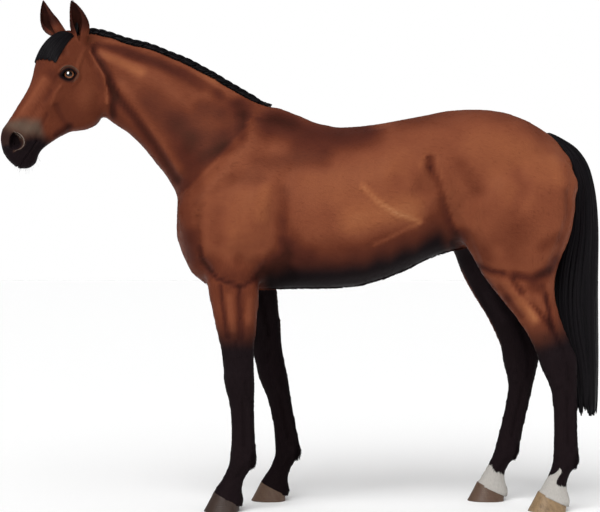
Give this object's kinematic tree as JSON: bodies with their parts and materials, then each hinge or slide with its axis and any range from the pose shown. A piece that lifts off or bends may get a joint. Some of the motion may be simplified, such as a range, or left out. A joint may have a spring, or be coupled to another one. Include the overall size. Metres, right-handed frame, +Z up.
{
  "type": "horse",
  "caption": "Life-size bay riding horse standing square-ish in profile, head a little to its left, mane in a running braid, squared forelock, long straight tail.",
  "frame": {"origin": "on the ground, under the middle of the whole horse's bounding box", "axes": "+Z up; the head points along -X and the tail along +X; the horse's left side faces -Y"},
  "size_m": [2.4248, 0.602, 2.0719],
  "materials": {
    "coat": "short sleek red-brown hair",
    "points": "short black-brown hair of the legs",
    "long_hair": "long coarse black hair",
    "dark_horn": "grey-brown horn, satin",
    "pale_horn": "tan striped horn, satin",
    "eye": "wet dark brown"
  },
  "bodies": {
    "root": {"trunk": "coat", "neck": "coat", "head": "coat", "ear_left": "coat", "ear_right": "coat", "leg_left_fore": "points", "leg_right_fore": "points", "leg_left_hind": "points", "leg_right_hind": "points", "hoof_left_fore": "dark_horn", "hoof_right_fore": "dark_horn", "hoof_left_hind": "pale_horn", "hoof_right_hind": "dark_horn", "eye_left": "eye", "eye_right": "eye", "mane": "long_hair", "forelock": "long_hair", "tail": "long_hair"}
  },
  "joints": []
}
